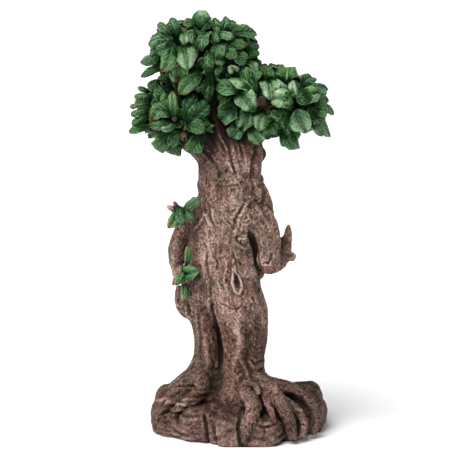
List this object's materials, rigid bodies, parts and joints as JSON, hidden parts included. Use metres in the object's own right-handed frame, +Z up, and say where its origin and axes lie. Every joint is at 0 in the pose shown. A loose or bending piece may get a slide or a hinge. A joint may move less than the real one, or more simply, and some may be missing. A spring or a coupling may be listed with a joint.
{
  "type": "tree spirit garden statue",
  "caption": "Free-standing garden statue: a bark-skinned tree figure with a leafy crown and a calm face, standing on rooted rock.",
  "frame": {"origin": "centre of the base's flat underside, which rests on the ground", "axes": "+Z up through the crown; the face looks along -Y"},
  "size_m": [0.3006, 0.2625, 0.6988],
  "materials": {
    "bark_paint": "grained cast resin, dry-brushed brown paint",
    "leaf_paint": "satin green paint on cast resin, lighter on the veins"
  },
  "bodies": {
    "root": {"tree_figure": "bark_paint"}
  },
  "joints": []
}
